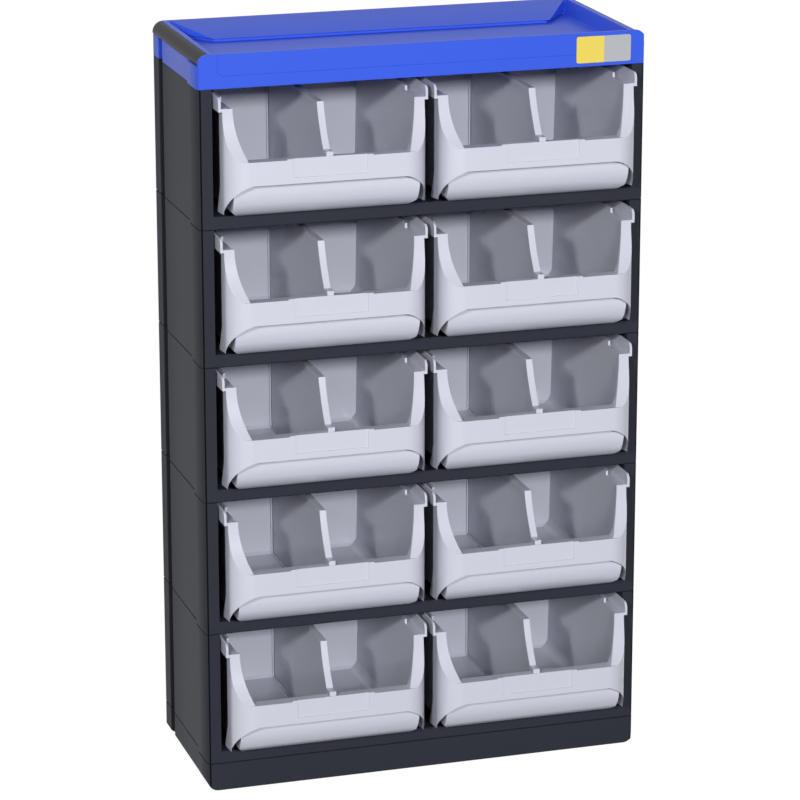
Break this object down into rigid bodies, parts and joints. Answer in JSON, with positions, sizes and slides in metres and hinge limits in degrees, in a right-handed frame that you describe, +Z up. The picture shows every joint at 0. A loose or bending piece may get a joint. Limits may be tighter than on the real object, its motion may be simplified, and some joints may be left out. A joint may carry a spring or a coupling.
{
  "type": "parts bin cabinet",
  "caption": "Stacking cabinet with open-fronted pull-out bins for small parts, each with a lift-out divider, under a tray-shaped top with side grips.",
  "frame": {"origin": "centre of the cabinet's footprint at the bottom of its feet, bins pushed in", "axes": "+Z up, -Y out of the open bin fronts towards the user, +X to the user's right"},
  "size_m": [0.3096, 0.156, 0.5113],
  "materials": {
    "cabinet_plastic": "fine-grained moulded polypropylene, dark anthracite",
    "tray_plastic": "satin moulded plastic, signal blue",
    "grip_plastic": "glossy black moulded plastic",
    "bin_plastic": "satin light grey moulded plastic",
    "divider_plastic": "satin light grey moulded plastic",
    "foot_rubber": "black rubber"
  },
  "bodies": {
    "cabinet": {"base_plinth": "cabinet_plastic", "foot_front_left": "foot_rubber", "foot_front_right": "foot_rubber", "foot_rear_left": "foot_rubber", "foot_rear_right": "foot_rubber", "tier_1": "cabinet_plastic", "tier_2": "cabinet_plastic", "tier_3": "cabinet_plastic", "tier_4": "cabinet_plastic", "tier_5": "cabinet_plastic", "top_tray": "tray_plastic", "grip_left": "grip_plastic", "grip_right": "grip_plastic"},
    "sliding_bin_1_left": {"bin_1_left": "bin_plastic", "divider_1_left": "divider_plastic"},
    "sliding_bin_1_right": {"bin_1_right": "bin_plastic", "divider_1_right": "divider_plastic"},
    "sliding_bin_2_left": {"bin_2_left": "bin_plastic", "divider_2_left": "divider_plastic"},
    "sliding_bin_2_right": {"bin_2_right": "bin_plastic", "divider_2_right": "divider_plastic"},
    "sliding_bin_3_left": {"bin_3_left": "bin_plastic", "divider_3_left": "divider_plastic"},
    "sliding_bin_3_right": {"bin_3_right": "bin_plastic", "divider_3_right": "divider_plastic"},
    "sliding_bin_4_left": {"bin_4_left": "bin_plastic", "divider_4_left": "divider_plastic"},
    "sliding_bin_4_right": {"bin_4_right": "bin_plastic", "divider_4_right": "divider_plastic"},
    "sliding_bin_5_left": {"bin_5_left": "bin_plastic", "divider_5_left": "divider_plastic"},
    "sliding_bin_5_right": {"bin_5_right": "bin_plastic", "divider_5_right": "divider_plastic"}
  },
  "joints": [
    {"name": "bin_1_left_slide", "type": "slide", "parent": "cabinet", "child": "sliding_bin_1_left", "axis": [0, -1, 0], "range_m": [0, 0.13]},
    {"name": "bin_1_right_slide", "type": "slide", "parent": "cabinet", "child": "sliding_bin_1_right", "axis": [0, -1, 0], "range_m": [0, 0.13]},
    {"name": "bin_2_left_slide", "type": "slide", "parent": "cabinet", "child": "sliding_bin_2_left", "axis": [0, -1, 0], "range_m": [0, 0.13]},
    {"name": "bin_2_right_slide", "type": "slide", "parent": "cabinet", "child": "sliding_bin_2_right", "axis": [0, -1, 0], "range_m": [0, 0.13]},
    {"name": "bin_3_left_slide", "type": "slide", "parent": "cabinet", "child": "sliding_bin_3_left", "axis": [0, -1, 0], "range_m": [0, 0.13]},
    {"name": "bin_3_right_slide", "type": "slide", "parent": "cabinet", "child": "sliding_bin_3_right", "axis": [0, -1, 0], "range_m": [0, 0.13]},
    {"name": "bin_4_left_slide", "type": "slide", "parent": "cabinet", "child": "sliding_bin_4_left", "axis": [0, -1, 0], "range_m": [0, 0.13]},
    {"name": "bin_4_right_slide", "type": "slide", "parent": "cabinet", "child": "sliding_bin_4_right", "axis": [0, -1, 0], "range_m": [0, 0.13]},
    {"name": "bin_5_left_slide", "type": "slide", "parent": "cabinet", "child": "sliding_bin_5_left", "axis": [0, -1, 0], "range_m": [0, 0.13]},
    {"name": "bin_5_right_slide", "type": "slide", "parent": "cabinet", "child": "sliding_bin_5_right", "axis": [0, -1, 0], "range_m": [0, 0.13]}
  ]
}
